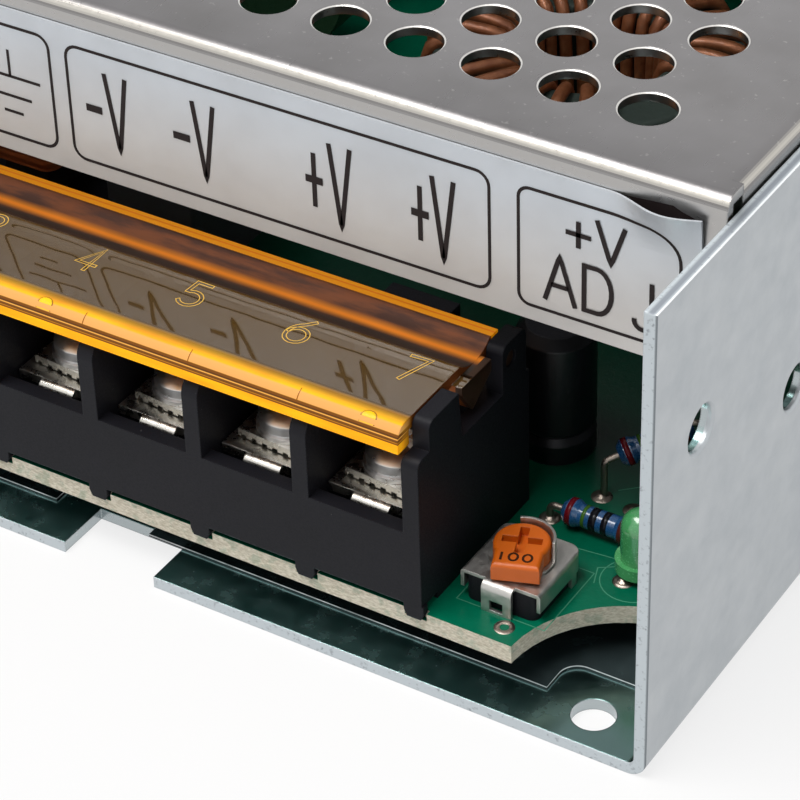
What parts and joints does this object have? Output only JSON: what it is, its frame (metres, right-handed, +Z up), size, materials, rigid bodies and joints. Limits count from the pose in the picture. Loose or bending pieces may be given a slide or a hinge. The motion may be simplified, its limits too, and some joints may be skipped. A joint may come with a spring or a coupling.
{
  "type": "enclosed switching power supply",
  "caption": "Enclosed switching power supply: folded sheet case, vented cover, screw terminal strip with amber flip cover, output adjuster and green indicator.",
  "frame": {"origin": "centre of the base plate's underside", "axes": "+Z up from the base, +Y from the terminal side to the rear, +X to the right seen from the terminal side"},
  "size_m": [0.098, 0.159, 0.042],
  "materials": {
    "base_metal": "satin, zinc-grey folded sheet",
    "cover_metal": "satin",
    "label_foil": "satin silver",
    "clear_film": "clear gloss",
    "board_green": "satin solder resist",
    "black_plastic": "matte",
    "amber_plastic": "clear amber gloss",
    "nickel": "bright nickel",
    "zinc_screw": "bright zinc",
    "tin_plate": "dull tin",
    "orange_plastic": "satin",
    "led_green": "tinted gloss",
    "resistor_blue": "lacquer",
    "solder_lead": "bright",
    "sleeve_black": "heat-shrink sleeve",
    "ferrite": "matte",
    "core_yellow": "painted",
    "copper": "lacquered copper",
    "tape_yellow": "film",
    "box_yellow": "gloss",
    "fuse_white": "matte",
    "disc_green": "dipped",
    "disc_blue": "dipped",
    "bar_metal": "milled",
    "standoff_brass": "turned"
  },
  "bodies": {
    "case": {"chassis": "base_metal", "cover": "cover_metal", "label": "label_foil", "insulating_film": "clear_film", "circuit_board": "board_green", "standoffs": "standoff_brass", "board_screws": "zinc_screw", "cover_screws": "zinc_screw", "terminal_block": "black_plastic", "terminal_contacts": "nickel", "trimmer_body": "black_plastic", "trimmer_bracket": "tin_plate", "led": "led_green", "resistors": "resistor_blue", "resistor_leads": "solder_lead", "small_capacitor": "sleeve_black", "output_capacitors": "sleeve_black", "input_capacitors": "sleeve_black", "inductor_core": "core_yellow", "inductor_winding": "copper", "transformer_core": "ferrite", "transformer_bobbin": "black_plastic", "transformer_winding": "tape_yellow", "choke_core": "ferrite", "choke_base": "black_plastic", "fuse_clips": "tin_plate", "choke_coils": "copper", "x_capacitor": "box_yellow", "bridge_rectifier": "black_plastic", "control_chips": "black_plastic", "fuse": "fuse_white", "thermistor": "disc_green", "y_capacitors": "disc_blue", "heat_bars": "bar_metal", "power_devices": "black_plastic"},
    "terminal_cover": {"terminal_cover": "amber_plastic"},
    "trimmer_knob": {"trimmer_knob": "orange_plastic", "trimmer_wiper": "tin_plate"},
    "clamp_1": {"clamp_1": "nickel"},
    "screw_1": {"screw_1": "nickel"},
    "clamp_2": {"clamp_2": "nickel"},
    "screw_2": {"screw_2": "nickel"},
    "clamp_3": {"clamp_3": "nickel"},
    "screw_3": {"screw_3": "nickel"},
    "clamp_4": {"clamp_4": "nickel"},
    "screw_4": {"screw_4": "nickel"},
    "clamp_5": {"clamp_5": "nickel"},
    "screw_5": {"screw_5": "nickel"},
    "clamp_6": {"clamp_6": "nickel"},
    "screw_6": {"screw_6": "nickel"},
    "clamp_7": {"clamp_7": "nickel"},
    "screw_7": {"screw_7": "nickel"}
  },
  "joints": [
    {"name": "terminal_cover_hinge", "type": "hinge", "parent": "case", "child": "terminal_cover", "pos_m": [0, -0.0649, 0.02095], "axis": [-1, 0, 0], "range_deg": [0, 45]},
    {"name": "trimmer_turn", "type": "hinge", "parent": "case", "child": "trimmer_knob", "pos_m": [0.03425, -0.0714, 0.0087], "axis": [0, 0, 1], "range_deg": [-105, 105]},
    {"name": "clamp_1_lift", "type": "slide", "parent": "case", "child": "clamp_1", "axis": [0, 0, 1], "range_m": [0, 0.0024]},
    {"name": "screw_1_turn", "type": "hinge", "parent": "clamp_1", "child": "screw_1", "pos_m": [-0.03285, -0.0719, 0.015], "axis": [0, 0, 1], "range_deg": [0, 1440]},
    {"name": "clamp_2_lift", "type": "slide", "parent": "case", "child": "clamp_2", "axis": [0, 0, 1], "range_m": [0, 0.0024]},
    {"name": "screw_2_turn", "type": "hinge", "parent": "clamp_2", "child": "screw_2", "pos_m": [-0.02335, -0.0719, 0.015], "axis": [0, 0, 1], "range_deg": [0, 1440]},
    {"name": "clamp_3_lift", "type": "slide", "parent": "case", "child": "clamp_3", "axis": [0, 0, 1], "range_m": [0, 0.0024]},
    {"name": "screw_3_turn", "type": "hinge", "parent": "clamp_3", "child": "screw_3", "pos_m": [-0.01385, -0.0719, 0.015], "axis": [0, 0, 1], "range_deg": [0, 1440]},
    {"name": "clamp_4_lift", "type": "slide", "parent": "case", "child": "clamp_4", "axis": [0, 0, 1], "range_m": [0, 0.0024]},
    {"name": "screw_4_turn", "type": "hinge", "parent": "clamp_4", "child": "screw_4", "pos_m": [-0.00435, -0.0719, 0.015], "axis": [0, 0, 1], "range_deg": [0, 1440]},
    {"name": "clamp_5_lift", "type": "slide", "parent": "case", "child": "clamp_5", "axis": [0, 0, 1], "range_m": [0, 0.0024]},
    {"name": "screw_5_turn", "type": "hinge", "parent": "clamp_5", "child": "screw_5", "pos_m": [0.00515, -0.0719, 0.015], "axis": [0, 0, 1], "range_deg": [0, 1440]},
    {"name": "clamp_6_lift", "type": "slide", "parent": "case", "child": "clamp_6", "axis": [0, 0, 1], "range_m": [0, 0.0024]},
    {"name": "screw_6_turn", "type": "hinge", "parent": "clamp_6", "child": "screw_6", "pos_m": [0.01465, -0.0719, 0.015], "axis": [0, 0, 1], "range_deg": [0, 1440]},
    {"name": "clamp_7_lift", "type": "slide", "parent": "case", "child": "clamp_7", "axis": [0, 0, 1], "range_m": [0, 0.0024]},
    {"name": "screw_7_turn", "type": "hinge", "parent": "clamp_7", "child": "screw_7", "pos_m": [0.02415, -0.0719, 0.015], "axis": [0, 0, 1], "range_deg": [0, 1440]}
  ],
  "couplings": [
    {"joint": "screw_1_turn", "follows": "clamp_1_lift", "rad_per_m": 10472},
    {"joint": "screw_2_turn", "follows": "clamp_2_lift", "rad_per_m": 10472},
    {"joint": "screw_3_turn", "follows": "clamp_3_lift", "rad_per_m": 10472},
    {"joint": "screw_4_turn", "follows": "clamp_4_lift", "rad_per_m": 10472},
    {"joint": "screw_5_turn", "follows": "clamp_5_lift", "rad_per_m": 10472},
    {"joint": "screw_6_turn", "follows": "clamp_6_lift", "rad_per_m": 10472},
    {"joint": "screw_7_turn", "follows": "clamp_7_lift", "rad_per_m": 10472}
  ]
}
